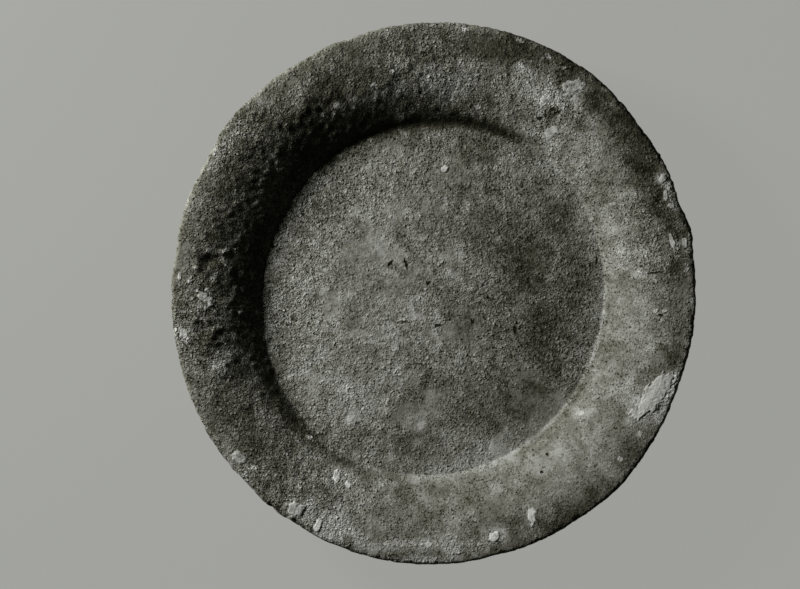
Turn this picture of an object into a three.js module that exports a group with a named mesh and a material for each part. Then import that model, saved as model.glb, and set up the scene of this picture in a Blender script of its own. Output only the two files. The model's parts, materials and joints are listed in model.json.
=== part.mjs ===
// A shallow stone dish and the lime crusts that have grown on it.
//
// The body is one thick round piece: a flat foot, a flat sunken floor, a wall that curves
// outwards into a broad convex rim, and a blunt lip. Its outline is slightly oval and
// chipped, and the well is a little off centre. Each crust is a separate low mound that lies
// on the body. Millimetres, +Z up, origin at the centre of the underside, +Y the long way.

import * as THREE from 'three';

// Outline, seen from above
const rimRadius = 77.7; // mean distance from the centre to the lip
const rimOval = 1.3; // the lip lies this much further out the long way, and less across it
const rimOvalTurn = 86; // direction of the long way, in degrees from +X

// Well, seen from above
const wellRadius = 51; // mean radius of the floor, at the foot of the wall
const wellOval = 1.5;
const wellOvalTurn = 64;
const wellShift = 1.5; // the well sits this far from the centre
const wellShiftTurn = 268;

// Section, from the underside up
const footRadius = 46; // the flat ring and disc that the dish stands on
const floorThickness = 7;
const wellDepth = 10; // from the floor to the top of the rim
const lipThickness = 3.4;
const lipRound = 1; // radius of the lip's two corners

// Handles of the two long curves of the section, as shares of their run and rise
const wallHandles = { footRun: 0.05, footRise: 0.06, crownRun: 0.41, crownRise: 0.93 };
const underHandles = { footRun: 0.3, footRise: 0.12, lipRun: 0.66, lipRise: 0.78 };

// How finely the body is faceted
const bodySides = 120;
const curveSteps = 7;

// Where the lip stands out or is chipped back: direction, half width in degrees, depth in mm
const lipFlaws = [
  { turn: 14, spread: 3, out: 0.6 },
  { turn: 21, spread: 4, out: -0.65 },
  { turn: 39, spread: 5, out: -0.5 },
  { turn: 56, spread: 12, out: 0.35 },
  { turn: 107, spread: 4, out: -0.4 },
  { turn: 119, spread: 4, out: -0.5 },
  { turn: 140, spread: 4.5, out: 0.6 },
  { turn: 151, spread: 5, out: -0.3 },
  { turn: 171, spread: 3, out: -0.5 },
  { turn: 212, spread: 7, out: 0.35 },
  { turn: 225, spread: 3, out: -0.3 },
  { turn: 239, spread: 4, out: -0.4 },
  { turn: 283, spread: 2.5, out: -0.4 },
  { turn: 315, spread: 10, out: 0.5 },
  { turn: 341, spread: 9, out: -0.45 },
];

// Crusts: each lies at a direction and a distance in from the lip, or out from the foot of the
// wall (in, where negative). Length, width and thickness are in mm. Lie is the direction of
// its length, in degrees from +X.
const seatGap = 0.3; // clearance between a crust and the surface that carries it
const crusts = {
  lime_slab_right: { turn: -25.4, fromLip: 5.8, length: 17, width: 5, thickness: 1.3, lie: 47 },
  lime_patch_lower_right: { turn: -66.2, fromLip: 7.8, length: 5.6, width: 3.4, thickness: 1.1, lie: 92 },
  lime_patch_bottom_bright: { turn: -76, fromLip: 5.3, length: 3.6, width: 3.1, thickness: 1.1, lie: 20 },
  lime_spot_bottom_a: { turn: -79.6, fromLip: 4.5, length: 2.1, width: 1.6, thickness: 0.8, lie: 20 },
  lime_spot_bottom_b: { turn: 268.8, fromLip: 5.8, length: 2.4, width: 1.7, thickness: 0.8, lie: 50 },
  lime_streak_bottom: { turn: 274.2, fromLip: 5.6, length: 4.1, width: 1.4, thickness: 0.8, lie: 80 },
  lime_patch_lower_left: { turn: 237.5, fromLip: 3.9, length: 5.6, width: 4.3, thickness: 1.2, lie: 128 },
  lime_flake_lower_left: { turn: 243.6, fromLip: 3.3, length: 4.2, width: 2.3, thickness: 1, lie: 70 },
  lime_patch_wall_lower_left: { turn: 242, fromWell: 6.4, length: 5.2, width: 2.3, thickness: 1, lie: 90 },
  lime_spot_wall_lower_left: { turn: 246, fromWell: 7.4, length: 2.8, width: 1.6, thickness: 0.8, lie: 136 },
  lime_patch_left_low: { turn: 220.2, fromLip: 3.5, length: 4.6, width: 3.4, thickness: 1, lie: 160 },
  lime_spot_left_low: { turn: 189.2, fromLip: 3, length: 3.4, width: 2.3, thickness: 0.9, lie: 85 },
  lime_spot_left_upper: { turn: 176.1, fromLip: 2.2, length: 3, width: 1.5, thickness: 0.8, lie: 86 },
  lime_patch_left_rim: { turn: 181.5, fromLip: 10.1, length: 6.6, width: 5, thickness: 0.8, lie: 145 },
  lime_patch_wall_upper_right: { turn: 54, fromWell: 7, length: 4.1, width: 3.3, thickness: 1, lie: 30 },
  lime_patch_upper_right: { turn: 56, fromLip: 6.4, length: 6.8, width: 4.5, thickness: 1.1, lie: 25 },
  lime_patch_upper_right_inner: { turn: 60, fromLip: 13.8, length: 4.8, width: 2.5, thickness: 0.9, lie: 55 },
  lime_patch_edge_right_a: { turn: 26.6, fromLip: 2.8, length: 3.6, width: 2.3, thickness: 0.9, lie: 45 },
  lime_streak_edge_right_b: { turn: 22.9, fromLip: 3.2, length: 3.8, width: 1.6, thickness: 0.8, lie: 95 },
  lime_patch_edge_right_c: { turn: 20.1, fromLip: 2.5, length: 2.6, width: 1.5, thickness: 0.8, lie: 170 },
  lime_spot_edge_right_d: { turn: 11.1, fromLip: 2.4, length: 3, width: 1.9, thickness: 0.7, lie: 103 },
  lime_spot_right_rim: { turn: 12.4, fromLip: 6.2, length: 4.4, width: 1.7, thickness: 0.7, lie: 108 },
  lime_spot_wall_right: { turn: 320.6, fromWell: 4.6, length: 2.8, width: 2.2, thickness: 0.8, lie: 10 },
  lime_spot_lower_right_a: { turn: 325.2, fromLip: 4.4, length: 3.1, width: 1.6, thickness: 0.8, lie: 75 },
  lime_spot_lower_right_b: { turn: 318.4, fromLip: 5.1, length: 2.2, width: 1.8, thickness: 0.8, lie: 130 },
  lime_lump_well_floor: { turn: 85.2, fromWell: -14.2, length: 3, width: 2, thickness: 1, lie: 41 },
};
const crustSides = 12;
const crustLobes = 0.14; // how far a crust's outline swells and draws in, as a share of its size

const radians = THREE.MathUtils.degToRad;

// A rounded push at one direction, which fades out over its spread on both sides.
function lipFlaw(angle, { turn, spread, out }) {
  const away = THREE.MathUtils.euclideanModulo(angle - radians(turn) + Math.PI, 2 * Math.PI) - Math.PI;
  return out * Math.exp(-((away / radians(spread)) ** 2));
}

// Distance from the centre to the lip in one direction.
function lipDistance(angle) {
  const oval = rimOval * Math.cos(2 * (angle - radians(rimOvalTurn)));
  const flaws = lipFlaws.reduce((sum, flaw) => sum + lipFlaw(angle, flaw), 0);
  return rimRadius + oval + flaws;
}

// Distance from the centre to the foot of the wall in one direction.
function wellDistance(angle) {
  const oval = wellOval * Math.cos(2 * (angle - radians(wellOvalTurn)));
  const shift = wellShift * Math.cos(angle - radians(wellShiftTurn));
  return wellRadius + oval + shift;
}

// The section is drawn round, at the mean radii. These two turn a radius of the section into a
// real distance from the centre in one direction, and back.
function spread(angle, sectionRadius) {
  const well = wellDistance(angle);
  if (sectionRadius <= wellRadius) return (sectionRadius * well) / wellRadius;
  const share = (sectionRadius - wellRadius) / (rimRadius - wellRadius);
  return well + share * (lipDistance(angle) - well);
}

function unspread(angle, distance) {
  const well = wellDistance(angle);
  if (distance <= well) return (distance * wellRadius) / well;
  const share = (distance - well) / (lipDistance(angle) - well);
  return wellRadius + share * (rimRadius - wellRadius);
}

// The closed half section, from the axis along the foot, out under the rim, round the two
// corners of the lip and back over the rim and the floor to the axis.
function sectionPoints() {
  const top = floorThickness + wellDepth;
  const lipCentre = rimRadius - lipRound;
  const lipUnder = top - lipThickness;
  const wallRun = lipCentre - wellRadius;
  const underRun = lipCentre - footRadius;
  const path = new THREE.Path();
  path.moveTo(0, 0);
  path.lineTo(footRadius, 0);
  path.bezierCurveTo(
    footRadius + underHandles.footRun * underRun,
    underHandles.footRise * lipUnder,
    footRadius + underHandles.lipRun * underRun,
    underHandles.lipRise * lipUnder,
    lipCentre,
    lipUnder,
  );
  path.absarc(lipCentre, lipUnder + lipRound, lipRound, -Math.PI / 2, 0, false);
  path.absarc(lipCentre, top - lipRound, lipRound, 0, Math.PI / 2, false);
  path.bezierCurveTo(
    wellRadius + wallHandles.crownRun * wallRun,
    floorThickness + wallHandles.crownRise * wellDepth,
    wellRadius + wallHandles.footRun * wallRun,
    floorThickness + wallHandles.footRise * wellDepth,
    wellRadius,
    floorThickness,
  );
  path.lineTo(0, floorThickness);
  return path.getPoints(curveSteps);
}

const section = sectionPoints();
const outermost = section.reduce((best, point, i) => (point.x > section[best].x ? i : best), 0);

// Height of the upper surface over a point, read off the section from the lip inwards.
function surfaceHeight(x, y) {
  const radius = unspread(Math.atan2(y, x), Math.hypot(x, y));
  const inner = section.findIndex((point, i) => i > outermost && point.x <= radius);
  const share = (radius - section[inner].x) / (section[inner - 1].x - section[inner].x);
  return THREE.MathUtils.lerp(section[inner].y, section[inner - 1].y, share);
}

// Moves every vertex of a geometry to the place that a function gives for it.
function reshape(geometry, place) {
  const position = geometry.attributes.position;
  const vertex = new THREE.Vector3();
  for (let i = 0; i < position.count; i += 1) {
    place(vertex.fromBufferAttribute(position, i));
    position.setXYZ(i, vertex.x, vertex.y, vertex.z);
  }
  geometry.computeVertexNormals();
  return geometry;
}

// The section turned about Z, then drawn out to the oval and chipped outline.
function dishBody() {
  const turned = new THREE.LatheGeometry(section, bodySides).rotateX(Math.PI / 2);
  const geometry = reshape(turned, (vertex) => {
    const angle = Math.atan2(vertex.y, vertex.x);
    const distance = spread(angle, Math.hypot(vertex.x, vertex.y));
    vertex.set(distance * Math.cos(angle), distance * Math.sin(angle), vertex.z);
  });
  const material = new THREE.MeshStandardMaterial({ color: 0x6d6d64, roughness: 0.95, metalness: 0 });
  const mesh = new THREE.Mesh(geometry, material);
  mesh.name = 'dish_body';
  return mesh;
}

// Half section of a crust of unit radius and unit height: flat below, domed above, with a
// steep edge.
const crustSection = [
  [0, 0],
  [0.55, 0],
  [1, 0],
  [0.93, 0.45],
  [0.6, 0.88],
  [0, 1],
].map(([radius, height]) => new THREE.Vector2(radius, height));

// Where a crust's middle lies: a distance in from the lip or out from the foot of the wall.
function crustMiddle({ turn, fromLip, fromWell }) {
  const angle = radians(turn);
  const distance = fromLip === undefined
    ? wellDistance(angle) + fromWell
    : lipDistance(angle) - fromLip;
  return new THREE.Vector2(distance * Math.cos(angle), distance * Math.sin(angle));
}

// A low mound with a lobed outline, laid on the body so that its underside follows the surface.
function limeCrust([name, crust], index) {
  const middle = crustMiddle(crust);
  const lie = radians(crust.lie);
  const unit = new THREE.LatheGeometry(crustSection, crustSides).rotateX(Math.PI / 2);
  const geometry = reshape(unit, (vertex) => {
    const angle = Math.atan2(vertex.y, vertex.x);
    const lobes = 1 + crustLobes * (Math.sin(2 * angle + index) + Math.sin(3 * angle + 2 * index)) / 2;
    const along = (vertex.x * lobes * crust.length) / 2;
    const across = (vertex.y * lobes * crust.width) / 2;
    const x = middle.x + along * Math.cos(lie) - across * Math.sin(lie);
    const y = middle.y + along * Math.sin(lie) + across * Math.cos(lie);
    vertex.set(x, y, surfaceHeight(x, y) + seatGap + vertex.z * crust.thickness);
  });
  const material = new THREE.MeshStandardMaterial({ color: 0xbdbbb0, roughness: 1, metalness: 0 });
  const mesh = new THREE.Mesh(geometry, material);
  mesh.name = name;
  return mesh;
}

const dish = new THREE.Group();
dish.add(dishBody(), ...Object.entries(crusts).map(limeCrust));

export default dish;
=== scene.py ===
# A shallow dish of weathered grey stone with pale lime crusts, seen straight down under one
# low lamp. Sizes in the dictionaries are in millimetres and directions in degrees from +X.
import json
import math

import bpy
import numpy as np
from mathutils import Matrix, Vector

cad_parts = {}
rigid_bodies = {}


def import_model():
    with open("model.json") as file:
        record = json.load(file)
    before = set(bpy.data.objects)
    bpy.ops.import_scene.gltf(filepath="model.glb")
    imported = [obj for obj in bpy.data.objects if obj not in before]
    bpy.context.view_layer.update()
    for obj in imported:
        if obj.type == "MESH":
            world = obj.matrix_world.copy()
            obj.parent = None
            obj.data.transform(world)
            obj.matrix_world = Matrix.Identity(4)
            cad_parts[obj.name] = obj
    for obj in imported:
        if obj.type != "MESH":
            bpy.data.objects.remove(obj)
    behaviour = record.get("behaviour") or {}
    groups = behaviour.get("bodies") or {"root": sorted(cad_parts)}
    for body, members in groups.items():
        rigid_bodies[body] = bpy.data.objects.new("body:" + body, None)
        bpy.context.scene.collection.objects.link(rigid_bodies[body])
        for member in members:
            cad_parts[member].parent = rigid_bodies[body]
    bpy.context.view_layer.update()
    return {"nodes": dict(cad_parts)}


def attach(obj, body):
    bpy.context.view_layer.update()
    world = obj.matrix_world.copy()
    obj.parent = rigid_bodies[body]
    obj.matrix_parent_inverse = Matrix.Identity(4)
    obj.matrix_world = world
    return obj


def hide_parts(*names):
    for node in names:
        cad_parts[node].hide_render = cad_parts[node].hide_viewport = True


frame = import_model()
mm = 0.001  # metres
print("Frame loaded:", len(frame["nodes"]), "nodes")


# Patterns in space

tableSize = 65536  # a power of two
randomTable = np.random.default_rng(11).uniform(-1, 1, tableSize)


def fixedRandom(cell, seed):
    # one fixed number from -1 to 1 for each whole-number cell of a lattice: large odd numbers
    # scatter the cell's three coordinates and the seed over the table
    mixed = cell[..., 0] * 73856093 ^ cell[..., 1] * 19349663 ^ cell[..., 2] * 83492791
    return randomTable[(mixed ^ seed * 2654435) & (tableSize - 1)]


def softNoise(points, size, seed):
    # random numbers on a lattice of this size, joined by smooth curves
    where = points / size
    cell = np.floor(where).astype(np.int64)
    share = where - cell
    share = share * share * (3 - 2 * share)
    total = 0
    for corner in np.ndindex(2, 2, 2):
        weight = np.prod(np.where(corner, share, 1 - share), axis=-1)
        total = total + weight * fixedRandom(cell + np.array(corner), seed)
    return total


domeReach, domeJitter = 0.7, 0.45  # radius of a dome and how far it strays, in lattice cells


def grainNoise(points, size, seed):
    # round grains: a lattice cell holds one dome of random height or none, and the highest counts
    where = points / size
    cell = np.floor(where).astype(np.int64)
    highest = np.zeros(len(points))
    for step in np.ndindex(3, 3, 3):
        home = cell + np.array(step) - 1
        jitter = np.stack([fixedRandom(home, seed + 10 * axis) for axis in (1, 2, 3)], axis=-1)
        away = np.linalg.norm(where - home - 0.5 - domeJitter * jitter, axis=-1)
        tallness = np.clip(fixedRandom(home, seed), 0, 1)
        highest = np.maximum(highest, tallness * np.clip(1 - (away / domeReach) ** 2, 0, 1))
    return highest


def fade(value, start, end):
    # 0 before start, 1 after end, and an even curve between them
    share = np.clip((value - start) / (end - start), 0, 1)
    return share * share * (3 - 2 * share)


# The dish body

dish = {
    # mean radii, with what an oval adds to them and where, and how far the well lies off centre
    "rimRadius": 77.7, "rimOval": 1.3, "rimOvalTurn": 86,
    "wellRadius": 51, "wellOval": 1.5, "wellOvalTurn": 64,
    "wellShift": 1.5, "wellShiftTurn": 268,
    "wellFlaws": [(137, 24, 1.4), (168, 9, 0.6)],  # where its foot stands out, as for the lip
    "footRadius": 46, "floorThickness": 7, "wellDepth": 10, "lipThickness": 3.4, "lipRound": 1,
    "wallHandles": [(0.05, 0.06), (0.41, 0.93)],  # shares of the wall's run and rise
    "underHandles": [(0.3, 0.12), (0.66, 0.78)],
    "curveSteps": 160, "lineSteps": 120, "cornerSteps": 40,  # points on each part of the section
    "rings": 138,  # rings of faces on the upper side, half as many below
    "fineRings": [(51.5, 1.6, 1.4), (77.7, 3, 0.8)],  # radius, reach, how much closer
    "upperMargin": 1,  # the upper side's looks start this far below the level of the floor
    # where the lip stands out or is chipped back: direction, half width, depth
    "lipFlaws": [
        (14, 3, 0.6), (21, 4, -0.65), (39, 5, -0.5), (56, 12, 0.35), (107, 4, -0.4),
        (119, 4, -0.5), (140, 4.5, 0.6), (151, 5, -0.3), (171, 3, -0.5), (212, 7, 0.35),
        (225, 3, -0.3), (239, 4, -0.4), (283, 2.5, -0.4), (315, 10, 0.5), (341, 9, -0.45),
    ],
}


def flawsAt(angle, flaws):
    # a bell curve for each flaw
    total = 0
    for turn, spread, out in flaws:
        away = (angle - math.radians(turn) + math.pi) % (2 * math.pi) - math.pi
        total = total + out * np.exp(-(away / math.radians(spread)) ** 2)
    return total


def lipDistance(angle):
    # mean radius, plus an oval of two waves a turn, plus the flaws
    oval = dish["rimOval"] * np.cos(2 * (angle - math.radians(dish["rimOvalTurn"])))
    return dish["rimRadius"] + oval + flawsAt(angle, dish["lipFlaws"])


def wellDistance(angle):
    # mean radius, plus an oval, plus a shift of the whole well to one side, plus the flaws
    oval = dish["wellOval"] * np.cos(2 * (angle - math.radians(dish["wellOvalTurn"])))
    shift = dish["wellShift"] * np.cos(angle - math.radians(dish["wellShiftTurn"]))
    return dish["wellRadius"] + oval + shift + flawsAt(angle, dish["wellFlaws"])


def spreadOut(angle, sectionRadius):
    # from a radius of the round section to a real distance from the middle
    well = wellDistance(angle)
    share = (sectionRadius - dish["wellRadius"]) / (dish["rimRadius"] - dish["wellRadius"])
    outside = well + share * (lipDistance(angle) - well)
    return np.where(share <= 0, sectionRadius * well / dish["wellRadius"], outside)


def drawIn(angle, distance):
    # the way back, from a real distance to a radius of the round section
    well = wellDistance(angle)
    share = (distance - well) / (lipDistance(angle) - well)
    outside = dish["wellRadius"] + share * (dish["rimRadius"] - dish["wellRadius"])
    return np.where(share <= 0, distance * dish["wellRadius"] / well, outside)


def curve(start, end, handles):
    # cubic Bezier curve, whose two handles lie at these shares of its run and rise
    start, end = np.array(start, float), np.array(end, float)
    first, second = (start + np.array(share) * (end - start) for share in handles)
    t = np.linspace(0, 1, dish["curveSteps"])[:, None]
    return (
        (1 - t) ** 3 * start + 3 * t * (1 - t) ** 2 * first
        + 3 * t * t * (1 - t) * second + t ** 3 * end
    )


def sectionCurves():
    # upper and lower half of the section, each from the axis to the outermost point of the lip
    top = dish["floorThickness"] + dish["wellDepth"]
    middle = top - dish["lipThickness"] / 2
    lipCentre = dish["rimRadius"] - dish["lipRound"]
    wallFoot = (dish["wellRadius"], dish["floorThickness"])
    crown = (lipCentre, top)
    footEdge = (dish["footRadius"], 0)
    lipUnder = (lipCentre, top - dish["lipThickness"])
    turn = np.linspace(0, math.pi / 2, dish["cornerSteps"])[1:, None]
    quarter = np.hstack([np.sin(turn), np.cos(turn)]) * dish["lipRound"]
    floor = np.linspace((0, dish["floorThickness"]), wallFoot, dish["lineSteps"])[:-1]
    foot = np.linspace((0, 0), footEdge, dish["lineSteps"])[:-1]
    wall = curve(wallFoot, crown, dish["wallHandles"])
    under = curve(footEdge, lipUnder, dish["underHandles"])
    corner = dish["lipThickness"] / 2 - dish["lipRound"]
    lipTop = (lipCentre, middle + corner) + quarter
    lipBottom = (lipCentre, middle - corner) + quarter * (1, -1)
    tip = (dish["rimRadius"], middle)
    return np.vstack([floor, wall, lipTop, tip]), np.vstack([foot, under, lipBottom, tip])


upperCurve, lowerCurve = sectionCurves()


def cutIntoRings(section, rings):
    # points along a section curve, evenly spaced but closer near the fine rings, and the
    # direction at right angles to the curve at each of them
    step = np.linalg.norm(np.diff(section, axis=0), axis=1)
    middle = (section[1:, 0] + section[:-1, 0]) / 2
    density = 1
    for radius, reach, more in dish["fineRings"]:
        density = density + more * np.exp(-((middle - radius) / reach) ** 2)
    along = np.concatenate([[0], np.cumsum(step * density)])
    wanted = np.linspace(0, along[-1], rings + 1)
    slope = np.gradient(section, along, axis=0)
    points = np.stack([np.interp(wanted, along, part) for part in section.T], axis=-1)
    tangent = np.stack([np.interp(wanted, along, part) for part in slope.T], axis=-1)
    tangent /= np.linalg.norm(tangent, axis=-1, keepdims=True)
    return points, np.stack([-tangent[:, 1], tangent[:, 0]], axis=-1)


def discGrid(rings):
    # a square grid pressed into a disc: each vertex's ring and direction, the quads, and the
    # outermost ring in order of direction
    line = np.arange(-rings, rings + 1)
    across, up = (grid.ravel() for grid in np.meshgrid(line, line))
    ring = np.maximum(abs(across), abs(up))
    wide = abs(across) >= abs(up)
    safe = np.maximum(ring, 1)
    sideways = math.pi / 4 * np.sign(across) * up / safe + math.pi * (across < 0)
    upright = math.pi / 2 - math.pi / 4 * np.sign(up) * across / safe + math.pi * (up < 0)
    angle = np.where(wide, sideways, upright) % (2 * math.pi)
    size = 2 * rings + 1
    first = (np.arange(size - 1)[:, None] * size + np.arange(size - 1)).ravel()
    quads = np.stack([first, first + 1, first + size + 1, first + size], axis=-1)
    edge = np.flatnonzero(ring == rings)
    return ring, angle, quads, edge[np.argsort(angle[edge])]


def onSection(ring, angle, points, normals):
    # turns ring points and their normals to their directions, and draws them out to the outline
    radius, height = points[ring].T
    outward, upward = normals[ring].T
    distance = spreadOut(angle, radius)
    place = np.stack([distance * np.cos(angle), distance * np.sin(angle), height], axis=-1)
    normal = np.stack([outward * np.cos(angle), outward * np.sin(angle), upward], axis=-1)
    return place, normal


def makeMesh(name, points, faceSets, attributes):
    # points in millimetres; each face set is an array of corner numbers, one row a face
    mesh = bpy.data.meshes.new(name)
    corners = np.concatenate([faces.ravel() for faces in faceSets])
    sizes = np.concatenate([np.full(len(faces), faces.shape[1]) for faces in faceSets])
    mesh.vertices.add(len(points))
    mesh.vertices.foreach_set("co", (points * mm).astype(np.float32).ravel())
    mesh.loops.add(len(corners))
    mesh.loops.foreach_set("vertex_index", corners.astype(np.int32))
    mesh.polygons.add(len(sizes))
    mesh.polygons.foreach_set("loop_start", (np.cumsum(sizes) - sizes).astype(np.int32))
    mesh.polygons.foreach_set("use_smooth", np.ones(len(sizes), bool))
    mesh.update(calc_edges=True)
    mesh.validate()
    for key, values in attributes.items():
        attribute = mesh.attributes.new(key, "FLOAT", "POINT")
        attribute.data.foreach_set("value", values.astype(np.float32))
    piece = bpy.data.objects.new(name, mesh)
    bpy.context.scene.collection.objects.link(piece)
    return piece


# Where the lime crusts lie

crust = {
    "cell": 0.25, "leastRings": 8,  # spacing of the grid, and how many rings it has at least
    "thickness": 0.06, "thicknessShare": 0.05,  # least height, and what each mm of width adds
    "buried": 0.25, "under": 0.2,  # how far its edge and its underside go into the stone
    "follows": 0.7,  # how closely its top follows the grain of the stone
    "margin": 1.35,  # its grid reaches this many times as far as its ellipse
    "edge": (0.75, 1.1),  # it falls into the stone between these shares of the way to its ellipse
    "hem": 12,  # power of the way out that pulls the grid's last rings into the stone in any case
    "lobes": [(2.2, 0.32), (0.9, 0.28), (0.45, 0.16)],  # size and reach of the lobes of its edge
    "brokenLobes": 1.4, "wholeLobes": 0.7,  # factors on their reach where it is broken and whole
    "lumps": [(1.4, 0.2), (0.6, 0.12)],  # size, and height as a share of the thickness
    "breaks": [(1.3, 0.17), (0.6, 0.13)],  # size and depth of the gaps in a broken crust
    "gaps": 0.08,  # how much lower a broken crust lies
    "thin": (-0.1, 0.8),  # as dark as the stone up to this height, pale from this share of its thickness
    "halo": 0.1,  # the stone just round it is paler by this
    "haloFade": (2, 0.8), "haloMargin": 1,  # fading between these shares of an ellipse this much larger
    "insideLip": 1.2,  # it keeps this far from the lip
    "firstSeed": 40,  # each crust has its own noise
    # how unbroken it is, its tone, how square its outline, how much broader its upper right end,
    # and its share of the usual thickness
    "looks": {
        "usual": (0.6, 0.75, 2, 0, 0.5),
        "lime_lump_well_floor": (0.9, 0.82, 2, 0, 1),
        "lime_spot_left_low": (0.7, 0.86, 2, 0, 0.6),
        "lime_patch_upper_right_inner": (0.8, 0.86, 2, 0, 0.7),
        "lime_spot_wall_lower_left": (0.7, 0.9, 2, 0, 1),
        "lime_patch_edge_right_a": (0.9, 0.78, 2, 0, 0.7),
        "lime_streak_edge_right_b": (0.9, 0.8, 2, 0, 0.7),
        "lime_patch_edge_right_c": (0.8, 0.78, 2, 0, 0.7),
        "lime_spot_edge_right_d": (0.8, 0.8, 2, 0, 0.6),
        "lime_slab_right": (0.7, 0.8, 3, 0.15, 0.6),
        "lime_patch_bottom_bright": (0.9, 0.96, 2, 0, 0.7),
        "lime_patch_lower_right": (0.6, 0.86, 2, 0, 0.7),
        "lime_flake_lower_left": (0.9, 0.98, 3, 0, 0.9),
        "lime_patch_lower_left": (0.5, 0.8, 2, 0, 0.8),
        "lime_patch_wall_lower_left": (0.6, 0.96, 2, 0, 1.1),
        "lime_patch_upper_right": (0.5, 0.74, 2, 0, 0.5),
        "lime_patch_left_rim": (0.1, 0.78, 2, 0, 0.7),
        "lime_spot_left_upper": (0.7, 0.78, 2, 0, 0.8),
        "lime_spot_bottom_b": (0.8, 0.9, 2, 0, 0.6),
        "lime_spot_wall_right": (0.7, 0.84, 2, 0, 0.5),
        "lime_spot_right_rim": (0.8, 0.74, 2, 0, 0.6),
        "lime_spot_lower_right_a": (0.5, 0.74, 2, 0, 0.3),
        "lime_spot_lower_right_b": (0.7, 0.84, 2, 0, 0.4),
        "lime_patch_wall_upper_right": (0.6, 0.74, 2, 0, 0.5),
    },
}


def crustPlace(name):
    # middle, directions and half sizes of the ellipse that a crust's CAD node fills from above
    node = frame["nodes"][name]
    corners = np.empty(len(node.data.vertices) * 3)
    node.data.vertices.foreach_get("co", corners)
    flat = corners.reshape(-1, 3)[:, :2] / mm
    centre = (flat.min(axis=0) + flat.max(axis=0)) / 2
    axes = np.linalg.svd(flat - centre, full_matrices=False)[2]
    axes *= np.sign(axes[:, :1] + axes[:, 1:])  # both point to the upper right, not the lower left
    return centre, axes, abs((flat - centre) @ axes.T).max(axis=0)


limeNodes = [name for name in sorted(frame["nodes"]) if name.startswith("lime_")]
crustPlaces = {name: crustPlace(name) for name in limeNodes}


footLineFade = 0.15  # share of its length over which a foot line fades at each end

# Lines and bands along the foot of the wall, bell-shaped across and fading at both ends: first
# and last direction, how far outside the foot, half width, height, change of tone
footLines = [
    # pale ridge on the lit side in a soft pale band, with a groove and a second low ridge outside
    (-100, 20, 1.6, 2.6, 0, 0.02),
    (-82, -2, 0.35, 0.6, 0.12, 0.04),
    (-66, 4, 1.6, 0.6, -0.1, -0.07),
    (-62, -8, 2.7, 0.7, 0.08, 0.02),
    # dark crease on the far side, with paler stone above it; the crease's darkness and the dark line on
    # the floor just inside it are painted shade
    (54, 136, 0.1, 1.5, -0.25, -0.42),
    (120, 192, -1.4, 1.4, 0.1, -0.16),
    (40, 92, 4, 2, 0, 0.1),
    # paler band at the foot of the lit wall
    (-100, -5, 7, 4, 0, 0.06),
    # painted shade in the shaded corner, and painted light on the floor's edge beside it
    (78, 205, 4.5, 3.2, 0, -0.2),
    (192, 252, 2.4, 1.8, 0, -0.24),
    (120, 240, -3.5, 3, 0, 0.08),
]


def footLinesAt(points):
    # each line's height, tone and share at every point: a bell curve across it, and an even fade
    # at both ends
    angle = np.arctan2(points[:, 1], points[:, 0])
    outside = np.hypot(points[:, 0], points[:, 1]) - wellDistance(angle)
    for start, end, middle, halfWidth, height, tone in footLines:
        along = (np.degrees(angle) - start) % 360 / (end - start)
        share = fade(along, 0, footLineFade) * fade(along, 1, 1 - footLineFade)
        yield height, tone, share * np.exp(-((outside - middle) / halfWidth) ** 2)


relief = {
    "noises": [(15, 0.14), (6, 0.06), (2.6, 0.045), (1.3, 0.06)],  # size, height
    "nodules": (1.7, 0.18), "pits": (2.1, -0.09),  # size, and height of the tallest
    "nibbles": [(2.6, 0.3), (0.9, 0.5)],  # size and depth of the chips along the lip
    "nibbleBand": (2, 0.3),  # they come in between these distances from the lip
    # rougher and smoother places: x, y, reach, change
    "places": [
        (-60, -8, 20, 1.6), (-48, 38, 22, 1.3), (-5, 62, 18, 0.7), (35, 56, 12, 0.3), (33, 52.5, 3.5, 1.2),
        (-76, 5, 8, -0.9), (-72, -26, 8, -0.6), (-68, 36, 8, -0.9), (-48, 60, 10, -0.7),
        (63, 22, 13, 0.6), (40, -44, 24, -0.55), (55, -12, 12, -0.4), (0, -60, 18, -0.3),
        (-42, -52, 16, 0.8), (-24, 0, 26, -0.4), (-74, 22, 8, -0.7), (34, -8, 22, 0.4),
        (50, 19, 7, -0.5), (54, 3, 8, -0.5), (62, 11, 6, 0.5), (40, -22, 8, 0.4),
    ],
    # patches where soil fills the grain: sizes and shares of their noises, where they are cut
    "fills": [(6, 0.65), (1.6, 0.45)], "fillFrom": 0.18, "fillTo": 0.42,
    "fillSmooths": 0.6, "fillTone": 0.06,  # how much smoother and paler they are
    "smoothest": 0.3,  # least roughness anywhere
    # lumps and hollows: x, y, half length, half width, direction, height
    "lumps": [
        (-65.6, 9.7, 2.3, 1.8, 20, -0.9), (-62.9, 10.7, 1.1, 0.8, 0, -0.4),
        (-62, 11.5, 3.6, 0.8, 20, 0.4), (-60.2, 7.6, 3, 0.8, -70, 0.35), (-69, 7.6, 1.4, 1, 80, 0.4),
        (-36.6, -18, 1.4, 1.1, 40, 0.4), (-33.7, -29.3, 1.2, 1, 0, 0.35),
        (-24.1, -38, 1.3, 1.1, 20, 0.35), (-12.5, -41.8, 1.2, 1, 70, 0.3),
        (62, 11, 5, 2.4, 10, 0.2), (-14, 62, 5, 3, 30, 0.3), (-22, 57, 4, 2.5, 20, 0.25),
        (-8, 57, 4, 2, -20, -0.25), (6, 58, 3, 2, 40, -0.2), (-38, 56, 5, 3, 50, 0.3),
        (-66, -14, 4, 2, 60, 0.4), (-61, -21, 4, 1.6, 40, 0.35), (-70, -8, 3, 1.5, 80, 0.3),
        (-58, -33, 4, 2.2, -40, 0.25), (-64, -31, 3, 1.8, -60, 0.3), (-60, -3, 3, 1.6, 50, 0.3),
        (63, 27, 3, 1.4, 60, 0.2), (60, 18, 3, 1.5, 100, 0.2), (66, 20, 2.6, 1.3, 80, 0.2),
    ],
}


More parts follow.
